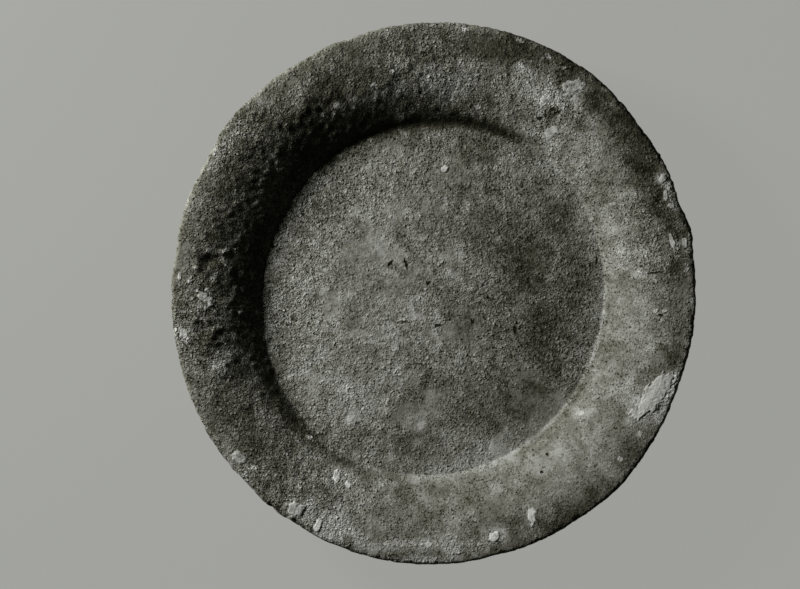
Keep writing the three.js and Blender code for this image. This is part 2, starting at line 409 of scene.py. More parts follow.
def ellipseReach(points, x, y, long, short, turn):
    # distance from the middle of an ellipse, as a share of the way to its edge
    cosine, sine = math.cos(math.radians(turn)), math.sin(math.radians(turn))
    right, up = points[:, 0] - x, points[:, 1] - y
    return np.hypot((right * cosine + up * sine) / long, (up * cosine - right * sine) / short)


def radiusOnSection(points):
    # radius of the round section on which each point lies
    return drawIn(np.arctan2(points[:, 1], points[:, 0]), np.hypot(points[:, 0], points[:, 1]))


def isUpper(points):
    # true on the upper side, and on the underside where it rises to the level of the floor
    return points[:, 2] > dish["floorThickness"] - dish["upperMargin"]


def filledAt(points):
    # 1 in the patches that soil has filled, 0 elsewhere: the upper part of a sum of noises
    total = sum(share * softNoise(points, size, 51) for size, share in relief["fills"])
    return fade(total, relief["fillFrom"], relief["fillTo"])


def roughnessAt(points):
    # 1 for ordinary stone, more where it is corroded and less where it is worn or filled
    total = 1 - relief["fillSmooths"] * filledAt(points)
    for x, y, reach, change in relief["places"]:
        total += change * np.exp(-ellipseReach(points, x, y, reach, reach, 0) ** 2)
    return np.maximum(total, relief["smoothest"])


def reliefAt(points):
    # sum of noises from broad swells to grit, domes for nodules and hollows for pits, times the
    # roughness, less the chips along the lip, plus the placed lumps and foot lines
    total = 0
    for seed, (size, height) in enumerate(relief["noises"]):
        total = total + height * softNoise(points, size, seed + 1)
    for seed, key in enumerate(("nodules", "pits")):
        size, height = relief[key]
        total = total + height * grainNoise(points, size, seed + 21)
    rough = roughnessAt(points)
    total = total * rough
    start, end = relief["nibbleBand"]
    lip = fade(radiusOnSection(points), dish["rimRadius"] - start, dish["rimRadius"] - end)
    for seed, (size, depth) in enumerate(relief["nibbles"]):
        chips = np.clip(softNoise(points, size, seed + 61), 0, 1)
        total -= lip * np.minimum(rough, 1) * depth * chips
    placed = sum(height * share for height, _, share in footLinesAt(points))
    for x, y, long, short, turn, height in relief["lumps"]:
        placed += height * np.exp(-ellipseReach(points, x, y, long, short, turn) ** 2)
    return total + placed * isUpper(points)


toning = {
    "floor": 0.5, "rim": 0.42,  # from 0, darkest, to 1, palest
    "rimFrom": 2,  # the rim's tone is reached this far outside the foot of the wall
    "frays": [(5, 2.2, 31), (1.7, 1, 34)],  # unevenness of a stain's edge: size, reach, seed
    "stainFade": (1.2, 0.3),  # a stain comes in between these shares of its reach
    # lighter and darker places: x, y, half length, half width, direction, change
    "stains": [
        # floor; the darker ones along its upper edge, beside the shaded crease, are painted shade
        (29, 3, 30, 20, 85, -0.14), (30, 0, 13, 9, 80, -0.14), (35, -15, 10, 8, 60, -0.12),
        (36, -26, 10, 8, 40, -0.16), (24, 9, 10, 8, 60, -0.08), (28, -14, 9, 9, 0, -0.14),
        (9, -9, 9, 7, 0, -0.16), (15, -35, 14, 9, 10, -0.14), (27, -30, 9, 8, 0, -0.12),
        (43, 2, 12, 6, 90, -0.1), (-5, -45, 9, 5, 0, -0.13), (-23, 13, 7, 7, 0, -0.07),
        (15, 18, 12, 8, 10, -0.13), (36, 24, 11, 6, -50, -0.1), (10, 38, 14, 8, 0, -0.09),
        (-17, 43, 7, 7, 0, -0.14), (14, 47, 14, 4, -10, -0.14), (36, -38, 8, 7, 0, -0.1),
        (-14, -6, 10, 9, 30, 0.1), (-16, 10, 8, 12, 0, 0.08), (-4, -5, 6, 7, 70, 0.08),
        (-33, -23, 12, 9, -30, 0.14), (-22, -33, 12, 7, -20, 0.14), (-12, -25, 6, 9, 0, 0.16),
        (-16, 26, 10, 6, 0, 0.1), (10, 4, 8, 6, 0, 0.12), (-4, -15, 7, 4, 0, 0.1),
        (-35, 0, 6, 14, 0, 0.04), (-27, -10, 5, 11, 0, 0.07), (19, 7, 7, 4, 20, 0.12),
        (36, 8, 5, 5, 0, 0.1), (32, -2, 7, 5, 0, 0.14), (28, 24, 6, 5, 0, 0.1), (34, 37, 10, 6, -20, 0.08),
        (25, -7, 4, 7, 0, 0.14), (24, 15, 4, 4, 0, 0.1), (35, -30, 7, 5, 50, 0.14),
        (22, -46, 11, 5, 12, 0.08), (20, -22, 7, 6, 0, -0.14), (2, -26, 7, 4, 0, -0.12),
        (8, -31, 4, 3, 0, 0.1), (27, 5, 5, 4, 0, -0.1), (11, 29, 9, 4, 10, -0.12), (1, 18, 7, 9, 0, -0.12),
        (-13, 34, 5, 4, 0, -0.07), (-14, 0, 16, 22, 10, 0.03), (-10, -38, 12, 4, 0, 0.07),
        (-40, -38, 5, 4, -40, -0.1), (-15, 44, 7, 4, 0, -0.08), (43, 17, 4, 4, 0, -0.08),
        (34, 18, 7, 4, 0, -0.06), (13, 10, 4, 5, 0, 0.06), (38, -24, 5, 5, 0, 0.08),
        (25, -18, 5, 3, 0, 0.08), (28, -10, 3, 5, 0, -0.1), (38, -2, 4, 4, 0, -0.07),
        (-37, -17, 5, 4, 0, 0.06), (-16, -7, 5, 5, 0, 0.06), (-22, 14, 5, 6, 0, -0.04),
        (16, -25, 4, 3, 0, 0.08), (-24, 30, 5, 5, 0, 0.07), (30, 12, 4, 8, 0, -0.06),
        (6, -26, 12, 4, 40, -0.06), (15, -36, 5, 4, 0, -0.07), (8, -8, 5, 6, 0, -0.07),
        (30, -30, 7, 5, 0, -0.07), (-47, -22, 3, 9, 0, -0.08), (-47, 2, 3, 6, 0, -0.1),
        (-10, 33, 4, 4, 0, 0.06), (14, 10, 5, 4, 0, 0.05), (-8, -26, 5, 5, 0, 0.06),
        (30, 32, 4, 4, 0, 0.08), (-34, 29, 4, 4, 0, -0.06), (12, 42, 7, 4, 0, -0.08),
        (41, -11, 5, 3, 0, 0.06), (33, -47, 4, 4, 0, -0.06), (30, 43, 5, 3, -40, -0.12),
        (24, 0, 5, 4, 0, -0.08), (16, 16, 5, 4, 0, -0.06), (-8, -36, 6, 4, 0, -0.08),
        (42, -17, 4, 6, 0, -0.05), (-41, 8, 3, 5, 0, -0.07), (43, 9, 4, 5, 0, 0.06),
        # wall and rim, mostly on the left; on the left rim, where the lamp grazes, the darker ones are
        # partly painted shade for the grains' own shadows, and (-47, 33), (-48, 12) and (0, -78.5) are
        # painted light at the edge of the shade and on the lip's shaded flank
        (-62, 8, 36, 14, 88, -0.07), (-38, 50, 26, 12, 40, -0.15), (-55, 34, 9, 5, 0, -0.2),
        (-63, 3, 9, 5, 60, -0.18), (-36, 64, 10, 7, 30, 0.08), (-12, 59, 7, 3, 15, 0.18),
        (-34, 50, 3, 10, -10, 0.1), (-55, -8, 3, 5, 0, 0.1), (-75, 9, 3, 9, 0, -0.08),
        (-57, 52, 6, 2, 45, -0.08), (-41, 64, 7, 2, 35, -0.06), (-72, -13, 5, 4, 0, 0.05),
        (-47, 33, 11, 5, 60, 0.28), (-48, 12, 5, 3, 90, 0.2), (-55, 20, 6, 4, 80, 0.1),
        (-30, 41, 8, 3, 40, 0.08), (-26, 59, 4, 3, 0, -0.12), (-47, -39, 4, 4, 0, 0.08),
        (-53, 0, 4, 5, 0, 0.1), (-40, 53, 3, 5, 0, -0.08), (-51, -22, 4, 5, 0, 0.1),
        (-20, 52, 7, 4, 0, -0.2), (-63, 18, 4, 3, 0, -0.08), (-71, -18, 8, 3, -75, 0.1),
        (-54, -6, 4, 6, 0, 0.12), (-25, -56, 7, 4, 0, -0.14), (-35, -66, 4, 3, 0, -0.1),
        (-57, -26, 4, 5, 0, -0.08), (-16, -61, 4, 4, 0, 0.1), (-50, -37, 4, 4, 0, 0.1),
        (-17, -52, 5, 4, 0, -0.1), (-68, 22, 5, 8, -20, 0.1), (-43, 54, 4, 6, 0, 0.1),
        (-64, -25, 6, 4, 0, 0.12), (-65, -36, 3, 4, 30, -0.12), (-54, -38, 3, 4, 0, -0.1),
        (-28, 54, 4, 3, 0, 0.1), (-18, 60, 4, 3, 0, 0.1), (-25, -64, 6, 5, 0, 0.1),
        (-25, -72, 6, 2, -15, 0.12), (-66, 11, 4, 3, 0, -0.08), (0, -78.5, 24, 2, 0, 0.25),
        (-56, -12, 7, 7, 0, 0.03), (-67, -18, 7, 5, 0, -0.12), (-56, -41, 14, 8, -50, -0.14),
        (-48, -56, 14, 7, -45, -0.1), (-36, 49, 14, 4, 50, -0.14), (-60, 23, 9, 4, 0, -0.12),
        (-15, 62, 12, 6, 10, -0.1), (-24, 68, 14, 7, 20, -0.12), (-64, -3, 5, 4, 0, 0.12),
        (-61, -20, 6, 3, 40, 0.14), (-73, -10, 12, 3, 95, 0.14), (-63, 40, 8, 4, 55, 0.14),
        (-43, 57, 7, 4, 40, 0.08), (-58, 13, 4, 5, 0, 0.14), (-46, 38, 4, 6, 0, 0.1),
        (-66, 27, 4, 4, 0, 0.1), (-27, 54, 4, 4, 0, 0.12), (-60, -40, 4, 6, 0, 0.1),
        (-28, -69, 13, 5, -22, 0.26), (-39, -64, 5, 4, 0, 0.14), (-10, -73, 12, 3, 0, 0.26),
        (-27, -53, 7, 4, -30, 0.2), (-20, -55, 9, 8, 60, 0.2), (4, -70, 10, 5, 0, 0.16),
        (-36, -45, 10, 4, -45, 0.1), (-28, -62, 9, 4, -15, 0.16), (19, -72, 5, 3, 20, 0.18),
        (-51, -52, 5, 6, 0, 0.1), (-15, 70, 6, 4, 0, 0.12),
        # wall and rim, mostly on the right; the darker ones at the foot of the wall at the top, such as
        # (-2, 49), are painted shade, and (66.5, -35) is painted light beside the slab's shadow
        (0, 73, 40, 4, 0, -0.08), (23, 70, 18, 6, -14, -0.2), (6, 62, 14, 8, 0, 0.22),
        (53, 56, 30, 6, -44, -0.26), (61, 38, 12, 7, -55, -0.16), (71, 20, 24, 6, -75, -0.2),
        (37, 63, 4.5, 2, -25, -0.2), (46, 58, 6, 3.5, -60, -0.26), (52, 51, 7, 3.5, -60, -0.18),
        (57, 46, 8, 5, -65, -0.1), (60, 38, 6, 5, 0, -0.24), (64, 28, 6, 3.5, -65, -0.2),
        (60, 42, 10, 4, -50, 0.06), (46, 44, 9, 4, -30, 0.12), (50, 22, 7, 5, 0, 0.08),
        (67, -30, 8, 3, 50, 0.2), (40, 54, 5, 3, -30, -0.08), (65, 40, 6, 2, -60, -0.1),
        (43, 34, 4, 6, 0, 0.08), (50, 36, 5, 4, 0, -0.08), (70, -22, 4, 5, 0, -0.12),
        (62, -29, 4, 3, 0, -0.06), (57, -26, 3, 6, -20, 0.08), (35, 63, 2.5, 4, 0, 0.16),
        (70, 29, 3, 5, 20, 0.14), (62, 1, 5, 4, 0, 0.08), (27, -58, 5, 4, 0, -0.07),
        (-16, -53, 4, 3, 0, -0.08), (44, 46, 4, 3, 0, 0.06), (50, 53, 5, 4, -45, 0.12),
        (44, 26, 5, 7, 0, 0.12), (58, 33, 5, 4, 0, -0.1), (-2, 49, 8, 2.5, 0, -0.2),
        (6, 54, 5, 4, 0, -0.12), (-9, 47, 8, 4, 0, -0.12), (69, 29, 3, 7, 20, 0.14),
        (58, -31, 3, 6, -40, 0.1), (69.8, 14.6, 2, 3, 15, 0.2), (72.8, 15, 1.6, 2.2, 10, 0.2),
        (72.4, 20.6, 2.4, 1.6, -60, 0.2), (71.8, 10.5, 1.3, 1.3, 0, 0.2), (74.2, 6.2, 1.2, 2.8, 0, 0.2),
        (75, -2, 1.3, 2, 0, 0.25), (73.6, -6.6, 1.4, 1.4, 0, 0.14), (65.3, 32.6, 2.4, 1.6, 20, 0.22),
        (67.5, 29.5, 1.4, 2.8, 10, 0.2), (26.2, 65.4, 2.6, 2, 0, 0.2), (46, 52, 4, 4, 0, 0.08),
        (40, 46, 3, 5, 0, 0.06), (20, 50, 5, 3, 0, -0.14), (45, 49, 4, 3, 0, -0.06),
        (18, 59, 4, 4, 0, 0.12), (18, 66, 6, 4, 0, -0.08), (30, 53, 4, 3, 0, 0.1),
        (10, 53, 6, 4, 0, -0.08), (40, 63, 5, 3, -40, -0.12), (66, -12, 4, 5, 0, 0.12),
        (70, -27, 4, 5, -30, 0.2), (62, -24, 5, 5, 0, -0.1), (62, -42, 4, 4, 0, 0.1),
        (52, -50, 4, 5, 0, 0.08), (36, -57, 6, 4, 20, 0.1), (22, -68, 4, 4, 0, -0.1),
        (75, 10, 12, 2, 95, 0.1), (53, 56, 2.5, 1.5, 0, 0.16), (66, 33, 3, 1.5, 80, 0.2),
        (55, 27, 6, 5, 0, 0.08), (72, 5, 10, 4, 90, -0.18), (32, 59, 14, 6, -35, 0.14),
        (30, 66, 6, 4, 0, 0.14), (33.5, 53, 3.5, 2.4, 35, -0.2), (14, 60, 5, 6, 0, -0.1),
        (42, 52, 8, 5, -50, -0.08), (46, 38, 8, 5, 90, 0.14), (47, 20, 8, 6, 60, 0.14),
        (58, 10, 9, 8, 0, 0.12), (60, -10, 12, 7, 80, 0.2), (69, -17, 9, 3.5, 75, -0.2),
        (60, -26, 5, 2.5, 55, -0.08), (66, -15, 5, 4, 0, 0.1), (73, 4, 12, 2, 90, 0.16),
        (50, -42, 10, 6, 40, 0.08), (56, -29, 8, 9, 0, 0.14), (48, -46, 6, 6, 0, 0.08),
        (57, -45, 8, 5, 50, -0.16), (66.5, -35, 5, 2.5, 55, 0.24), (12, -50, 12, 4, 10, 0.1),
        (31, -52, 12, 7, 30, 0.1), (38, -66, 14, 5, 28, -0.18), (40, -42, 6, 4, 30, 0.08),
        (10, -60, 14, 5, 0, -0.09), (64, -48, 14, 4, 52, -0.14), (48, -56, 7, 5, 40, -0.08),
        (54, -17, 8, 4, 0, -0.08),
    ],
}


def toneAt(points):
    # the tone of floor or rim, a paler one where soil fills the grain, then a sum of soft
    # ellipses whose edges are frayed by noise, the foot lines and a halo round each crust
    frayed = points.copy()
    for size, reach, seed in toning["frays"]:
        frayed[:, 0] += reach * softNoise(points, size, seed)
        frayed[:, 1] += reach * softNoise(points, size, seed + 1)
    outside = radiusOnSection(points) - dish["wellRadius"]
    total = toning["floor"] + (toning["rim"] - toning["floor"]) * fade(outside, 0, toning["rimFrom"])
    total += relief["fillTone"] * filledAt(points)
    for x, y, long, short, turn, change in toning["stains"]:
        total += change * fade(ellipseReach(frayed, x, y, long, short, turn), *toning["stainFade"])
    for _, change, share in footLinesAt(points):
        total += change * share
    for centre, axes, half in crustPlaces.values():
        away = (frayed[:, :2] - centre) @ axes.T / (half + crust["haloMargin"])
        total += crust["halo"] * fade(np.hypot(*away.T), *crust["haloFade"])
    return np.where(isUpper(points), total, toning["rim"])


def makeBody():
    rings = dish["rings"]
    ring, angle, quads, edge = discGrid(rings)
    upper, upperNormal = onSection(ring, angle, *cutIntoRings(upperCurve, rings))
    lowRing, lowAngle, lowQuads, lowEdge = discGrid(rings // 2)
    points, normals = cutIntoRings(lowerCurve, rings // 2 + 1)
    lower, lowerNormal = onSection(lowRing, lowAngle, points[:-1], -normals[:-1])
    # two fine edges of the upper side meet each coarse edge of the lower side
    low = lowEdge + len(upper)
    lowNext = np.roll(low, -1)
    near, mid, far = edge[0::2], edge[1::2], np.roll(edge, -2)[0::2]
    strip = np.concatenate([
        np.stack([low, lowNext, mid], axis=-1),
        np.stack([low, mid, near], axis=-1),
        np.stack([lowNext, far, mid], axis=-1),
    ])
    smooth = np.vstack([upper, lower])
    raised = smooth + reliefAt(smooth)[:, None] * np.vstack([upperNormal, lowerNormal])
    raised[:, 2] = np.maximum(raised[:, 2], 0)  # the foot is worn flat
    faces = [np.vstack([quads, lowQuads[:, ::-1] + len(upper)]), strip]
    looks = {"tone": toneAt(smooth), "roughness": roughnessAt(smooth)}
    return makeMesh("dishBody", raised, faces, looks)


body = makeBody()
print("Dish body:", len(body.data.polygons), "faces")


# Lime crusts

def groundAt(x, y):
    # point on the smooth upper side of the dish
    angle = np.arctan2(y, x)
    radius = drawIn(angle, np.hypot(x, y))
    return np.stack([x, y, np.interp(radius, upperCurve[:, 0], upperCurve[:, 1])], axis=-1)


def makeCrust(name, seed):
    # a plate laid on the stone: a squared ellipse of the node's own size, wider at one end, level
    # with lumps in the middle, falling under the grain of the stone along an edge that noise makes
    # lobed, and as dark as the stone where it is thin
    centre, axes, half = crustPlaces[name]
    whole, limeTone, square, taper, rise = crust["looks"].get(name, crust["looks"]["usual"])
    rings = max(crust["leastRings"], round(half[0] / crust["cell"]))
    ring, angle, quads, _ = discGrid(rings)
    share = ring / rings
    outline = np.stack([np.cos(angle), np.sin(angle)], axis=-1)
    reach = (abs(outline) ** square).sum(axis=-1) ** (-1 / square)
    local = (crust["margin"] * share * reach)[:, None] * outline * half
    local[:, 1] *= 1 + taper * local[:, 0] / half[0]
    across, up = (centre + local @ axes).T
    limit = lipDistance(np.arctan2(up, across)) - crust["insideLip"]
    inside = np.minimum(1, limit / np.hypot(across, up))
    ground = groundAt(across * inside, up * inside)
    rough = ground[:, 2] + reliefAt(ground)
    lumps = sum(height * softNoise(ground, size, seed + 3) for size, height in crust["lumps"])
    breaks = sum(depth * softNoise(ground, size, seed + 5) for size, depth in crust["breaks"])
    lobes = sum(reach * softNoise(ground, size, seed + 7) for size, reach in crust["lobes"])
    lobes *= crust["brokenLobes"] + (crust["wholeLobes"] - crust["brokenLobes"]) * whole
    wayOut = share * crust["margin"] + lobes
    fallen = np.maximum(fade(wayOut, *crust["edge"]), share ** crust["hem"])
    thickness = rise * (crust["thickness"] + crust["thicknessShare"] * 2 * half[1])
    broken = (1 - whole) * (breaks - crust["gaps"])
    above = (1 - fallen) * (thickness * (1 + lumps) + broken) - crust["buried"] * fallen
    top = ground[:, 2] + crust["follows"] * (rough - ground[:, 2]) + above
    bottom = np.minimum(rough, top) - crust["under"]
    inner = np.flatnonzero(ring < rings)
    number = np.arange(len(ring))
    number[inner] = len(ring) + np.arange(len(inner))
    points = np.vstack([ground, ground[inner]])
    points[:, 2] = np.concatenate([top, bottom[inner]])
    faces = [np.vstack([quads, number[quads][:, ::-1]])]
    stoneTone = toneAt(ground)
    low, high = crust["thin"]
    tone = stoneTone + (limeTone - stoneTone) * fade(above, low, thickness * high)
    tone = np.concatenate([tone, tone[inner]])
    return makeMesh(name.replace("lime_", "crust_"), points, faces, {"tone": tone})


crusts = []
for seed, name in enumerate(crustPlaces):
    piece = makeCrust(name, crust["firstSeed"] + seed)
    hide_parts(name)
    crusts.append(piece)
print("Lime crusts:", len(crusts))


# Materials

def hexColour(text):
    # sRGB hex to linear: a straight line near black, and a power above it
    parts = [int(text[start:start + 2], 16) / 255 for start in (1, 3, 5)]
    linear = [part / 12.92 if part <= 0.04045 else ((part + 0.055) / 1.055) ** 2.4 for part in parts]
    return linear + [1]


def perMetre(size):
    # texture scale for a pattern whose features are this many millimetres across
    return 1 / (size * mm)


def addNode(tree, kind, settings, links=()):
    # settings are the node's own properties, its inputs by name or number, or a ramp's stops
    node = tree.nodes.new("ShaderNode" + kind)
    for key, value in settings.items():
        if key == "stops":
            ramp = node.color_ramp.elements
            while len(ramp) < len(value):
                ramp.new(0.5)
            for element, (position, colour) in zip(ramp, value):
                element.position = position
                element.color = hexColour(colour)
        elif isinstance(key, int) or key in node.inputs:
            node.inputs[key].default_value = value
        else:
            setattr(node, key, value)
    for key, socket in dict(links).items():
        tree.links.new(socket, node.inputs[key])
    return node


def newMaterial(name):
    material = bpy.data.materials.new(name)
    material.use_nodes = True
    tree = material.node_tree
    shader = tree.nodes["Principled BSDF"]
    return material, tree, shader


# from the darkest stone to the palest lime, at even steps
tones = ["#111107", "#39392e", "#606058", "#868781", "#aeaea9"]


def toneStops():
    return [(k / (len(tones) - 1), colour) for k, colour in enumerate(tones)]


stone = {
    # noises that lighten or darken, and specks that do so more where the stone is rough: size,
    # detail, the part of the noise that is used, and the change at both ends of it
    "clouds": [
        (16, 4, (0.3, 0.7), (-0.1, 0.1)),
        (4.5, 4, (0.3, 0.7), (-0.1, 0.1)),
        (2.2, 3, (0.3, 0.7), (-0.06, 0.06)),
        (0.6, 2, (0.3, 0.7), (-0.05, 0.05)),
    ],
    "specks": [
        (1.1, 3, (0.3, 0.7), (-0.13, -0.01)),  # always darker, to make up for the grains' tops
        (0.3, 1, (0.3, 0.7), (-0.08, 0.08)),
        (0.6, 1, (0.4, 0.3), (0, -0.5)),  # sparse dark pits
        (0.55, 1, (0.64, 0.76), (0, 0.1)),  # sparse pale specks
    ],
    # grains in the skin, with steep sides and level tops: as above, but the change is a height
    "grains": [
        (0.9, 2, (0.42, 0.58), (0, 0.08)),
        (0.42, 1, (0.4, 0.6), (0, 0.08)),
    ],
    # round crumbs, some large and some missing: size and height
    "crumbs": [(1.2, 0.22), (0.7, 0.14)],
    "crumbReach": (0.5, 0.05),  # its edge and its level top lie this far out, in shares of its size
    "crumbChance": (0.45, 0.7),  # random numbers up to the first give none, from the second the highest
    "grainTone": 0.6,  # how much paler grains and crumbs are for each mm of height, which is partly dirt in the hollows and partly painted shade in the hollows and painted light on the tops
    "frayed": (0.8, 1),  # size of the unevenness of a mark's edge, and how far it goes
    "markDepth": 2,  # half height of a mark's ellipsoid, which has to reach through the relief
    # small marks by shape: x, y, half length, half width, direction, change of tone, height
    "marks": {
        "ring": [
            # filled bubbles on the floor
            (-24.4, -28.7, 1.5, 1.4, 0, 0.15, 0.15), (-10.4, -23.2, 1.5, 1.3, 30, 0.15, 0.15),
            (34, -18.8, 1.5, 1.3, 70, 0.2, 0.15),
        ],
        "spot": [
            # pin holes in the wall at the lower right
            (33.2, -47, 0.6, 0.5, 0, -0.7, -0.3), (31.5, -52.3, 0.6, 0.5, 0, -0.7, -0.3),
            (44.4, -50.6, 0.4, 0.4, 0, -0.3, -0.2), (46.9, -50.6, 0.4, 0.4, 0, -0.3, -0.2),
            # cracks and pits in the rim
            (64.5, 5.9, 3.6, 0.4, 8, -0.5, -0.3), (48, 9.6, 1.5, 0.5, 90, -0.5, -0.3),
            (31, 51, 1.2, 0.7, 20, -0.6, -0.3), (34.6, 53.6, 1.3, 0.6, 35, -0.6, -0.3),
            (32.8, 52, 0.8, 0.5, 80, -0.5, -0.3), (36.4, 52.8, 0.8, 0.6, 0, -0.5, -0.3),
            # pale crumbs on the left of the rim
            (-52.1, -50.9, 1.4, 1, 0, 0.5, 0.25), (-36.2, -42.4, 1.8, 0.9, -40, 0.6, 0.3),
            (-69.3, 7.3, 1.2, 0.8, 0, 0.35, 0.25), (-65.5, 12.4, 1.1, 0.8, 40, 0.35, 0.25),
            (-61.1, 12, 1.2, 0.7, 60, 0.35, 0.25), (-63.9, 4.6, 1.5, 0.9, 60, 0.35, 0.25),
            (-71, 3.3, 0.9, 0.8, 0, 0.3, 0.2), (-70.6, -1.6, 1.1, 0.9, 30, 0.35, 0.2),
            (-68.8, 0.6, 1, 0.7, -40, 0.35, 0.2), (-56.4, -5.6, 1.2, 0.8, 0, 0.35, 0.25),
            # pale crumbs on the far side of the rim
            (9.3, 76.8, 1.9, 0.9, 0, 0.5, 0.2), (25, 73.6, 1.9, 0.8, -30, 0.5, 0.2),
            (13.4, 54.4, 1.2, 1, 0, 0.5, 0.3), (-11.9, 64.6, 1.1, 0.8, 0, 0.4, 0.25),
            (-28.2, 54.7, 2.2, 1.3, -20, 0.6, 0.3), (-17.4, 60.8, 1.6, 0.9, 20, 0.45, 0.25),
            (-32.2, 52.1, 1, 0.8, 0, 0.5, 0.25), (-23.2, 54.1, 1, 0.8, 0, 0.5, 0.25),
            (-29.6, 66, 0.7, 2.8, 0, 0.3, 0.15), (-18.6, 45.1, 1.2, 0.8, 0, 0.4, 0.2),
            # pale crumbs on the right of the rim, three of them round a pit
            (60.4, 6.2, 1.3, 0.8, -20, 0.2, 0.2), (66.2, -6.4, 0.7, 0.6, 0, -0.6, -0.3),
            (64.8, -5.2, 1, 0.7, 20, 0.35, 0.2), (67.2, -5.2, 1, 0.7, -30, 0.35, 0.2),
            (66.6, -7.9, 1.1, 0.6, 30, 0.35, 0.2), (66.4, 38, 1, 0.8, 40, 0.35, 0.2),
            (64.9, 39.7, 0.8, 0.6, 0, 0.35, 0.2), (33.4, 68.8, 2, 0.9, -60, 0.5, 0.2),
            (38, 65.4, 1, 0.7, 0, 0.35, 0.2),
            # painted shadow along the slab's lower right edge, over dents of the bump
            (68.6, -31, 1.8, 0.4, 42, -0.4, -0.3), (65.6, -33.4, 1.2, 0.6, 75, -0.4, -0.3),
            # cracks and pits in the floor
            (-12.5, 8.8, 1.5, 0.5, 50, -0.7, -0.3), (-8, 8.6, 2.2, 0.5, -70, -0.6, -0.3),
            (-1.4, 3, 1, 0.6, 50, -0.6, -0.3), (1.5, -9.5, 1.6, 0.5, 12, -0.6, -0.3),
            (23.9, -10.7, 1.4, 0.6, 95, -0.7, -0.3), (16.3, -1.4, 0.8, 0.6, 0, -0.6, -0.3),
            (-8.1, -8.5, 2.4, 0.4, 2, -0.4, -0.15), (11.4, -8.1, 1.1, 0.5, 110, -0.5, -0.2),
            # pale smears on the floor
            (5.3, 5.9, 2.6, 1, -52, 0.15, 0), (11.4, 1.5, 1, 0.8, 0, 0.25, 0.1),
        ],
    },
    "markShapes": {
        "spot": [(0, "#000000"), (0.6, "#ffffff")],
        "ring": [(0, "#000000"), (0.3, "#ffffff"), (0.6, "#000000")],
    },
    "roughness": 0.95, "specular": 0.1,
}


def addNoises(tree, place, noises, start):
    # adds each noise, stretched between its two limits, to the value it starts from
    total = start
    for size, detail, part, change in noises:
        settings = {"Scale": perMetre(size), "Detail": detail}
        noise = addNode(tree, "TexNoise", settings, {"Vector": place})
        limits = {"From Min": part[0], "From Max": part[1], "To Min": change[0], "To Max": change[1]}
        lighter = addNode(tree, "MapRange", limits, {"Value": noise.outputs["Fac"]})
        links = {0: total, 1: lighter.outputs[0]} if total else {1: lighter.outputs[0]}
        total = addNode(tree, "Math", {0: 0}, links).outputs[0]  # the sum, of 0 where none came before
    return total


def addCrumbs(tree, place, crumbs, total):
    # adds domes round random points, each as high as its own random number says
    for size, height in crumbs:
        cell = addNode(tree, "TexVoronoi", {"Scale": perMetre(size)}, {"Vector": place})
        start, end = stone["crumbReach"]
        limits = {"interpolation_type": "SMOOTHSTEP", "From Min": start, "From Max": end}
        dome = addNode(tree, "MapRange", limits, {"Value": cell.outputs["Distance"]})
        none, most = stone["crumbChance"]
        limits = {"From Min": none, "From Max": most, "To Max": height}
        rise = addNode(tree, "MapRange", limits, {"Value": cell.outputs["Color"]})
        links = {0: dome.outputs[0], 1: rise.outputs[0], 2: total}
        total = addNode(tree, "Math", {"operation": "MULTIPLY_ADD"}, links).outputs[0]
    return total


def markShare(tree, frayed, shape, x, y, long, short, turn):
    # share of a mark at each point: a frayed ellipsoid, fading from its middle by way of a ramp
    middle = groundAt(np.array([x]), np.array([y]))[0]
    settings = {
        "vector_type": "TEXTURE", "Location": middle * mm, "Rotation": (0, 0, math.radians(turn)),
        "Scale": (long * mm, short * mm, stone["markDepth"] * mm),
    }
    local = addNode(tree, "Mapping", settings, {"Vector": frayed}).outputs[0]
    settings = {"gradient_type": "SPHERICAL"}
    ball = addNode(tree, "TexGradient", settings, {"Vector": local}).outputs["Fac"]
    settings = {"stops": stone["markShapes"][shape]}
    return addNode(tree, "ValToRGB", settings, {"Fac": ball}).outputs["Color"]


def addMarks(tree, place, tone):
    # adds each mark to the tone, and to a height for the bump
    size, reach = stone["frayed"]
    settings = {"Scale": perMetre(size), "Detail": 1}
    noise = addNode(tree, "TexNoise", settings, {"Vector": place})
    settings = {"operation": "MULTIPLY_ADD", 1: [reach * mm] * 3, 2: [-reach * mm / 2] * 3}
    fraying = addNode(tree, "VectorMath", settings, {0: noise.outputs["Color"]})
    frayed = addNode(tree, "VectorMath", {}, {0: place, 1: fraying.outputs[0]}).outputs[0]
    height = None
    for shape, marks in stone["marks"].items():
        for *ellipse, change, rise in marks:
            share = markShare(tree, frayed, shape, *ellipse)
            settings = {"operation": "MULTIPLY_ADD", 1: change}
            tone = addNode(tree, "Math", settings, {0: share, 2: tone}).outputs[0]
            settings = {"operation": "MULTIPLY_ADD", 1: rise, 2: 0}
            links = {0: share, 2: height} if height else {0: share}
            height = addNode(tree, "Math", settings, links).outputs[0]
    return tone, height


